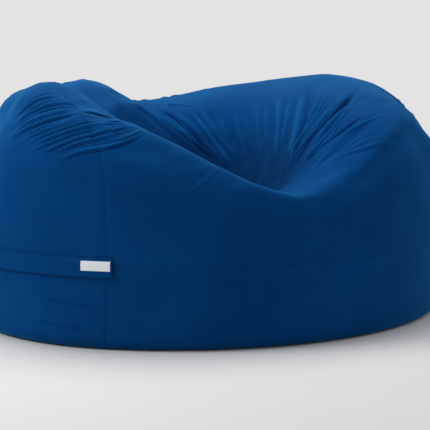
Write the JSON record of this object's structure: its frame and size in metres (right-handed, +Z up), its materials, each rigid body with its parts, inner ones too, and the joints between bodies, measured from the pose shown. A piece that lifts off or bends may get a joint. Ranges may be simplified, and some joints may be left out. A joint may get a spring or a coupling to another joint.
{
  "type": "bean bag chair",
  "caption": "Large foam-filled bean bag chair with a bucket seat between raised sides, sewn panels on a lower band, and a zip under a flap at one end.",
  "frame": {"origin": "on the floor under the middle of the sack's plan outline", "axes": "+X along the sack's length, towards the end without the zip; front (the low lip of the seat) at -Y; +Z up"},
  "size_m": [1.709, 1.4454, 0.8124],
  "materials": {
    "cover_cloth": "short-pile velvet, matte with a soft sheen",
    "base_cloth": "plain tough weave",
    "label_weave": "smooth satin weave",
    "liner_cloth": "plain thin weave",
    "foam": "shredded foam",
    "zip_tape": "woven tape",
    "zip_teeth": "moulded",
    "zip_metal": "satin lacquer"
  },
  "bodies": {
    "sack": {"cover_centre_panel": "cover_cloth", "cover_left_panel": "cover_cloth", "cover_right_panel": "cover_cloth", "band_front": "cover_cloth", "band_left": "cover_cloth", "band_back": "cover_cloth", "band_right": "cover_cloth", "zip_flap": "cover_cloth", "base_panel": "base_cloth", "label": "label_weave", "liner_upper": "liner_cloth", "liner_band": "liner_cloth", "liner_base": "liner_cloth", "foam_fill": "foam", "zip_tape_upper": "zip_tape", "zip_tape_lower": "zip_tape", "zip_teeth_upper": "zip_teeth", "zip_teeth_lower": "zip_teeth", "zip_stops": "zip_metal"},
    "slider": {"zip_slider": "zip_metal"},
    "pull_tab": {"zip_pull_tab": "zip_metal"}
  },
  "joints": [
    {"name": "zip_slider_run", "type": "hinge", "parent": "sack", "child": "slider", "pos_m": [-0.2, 0, 0.255], "axis": [0, 0, -1], "range_deg": [0, 95.8], "deforming": ["zip_teeth_upper", "zip_teeth_lower"]},
    {"name": "zip_pull_swing", "type": "hinge", "parent": "slider", "child": "pull_tab", "pos_m": [-0.63646, -0.48819, 0.255], "axis": [0, 0, 1], "range_deg": [0, 170], "deforming": ["zip_flap", "label"]}
  ]
}
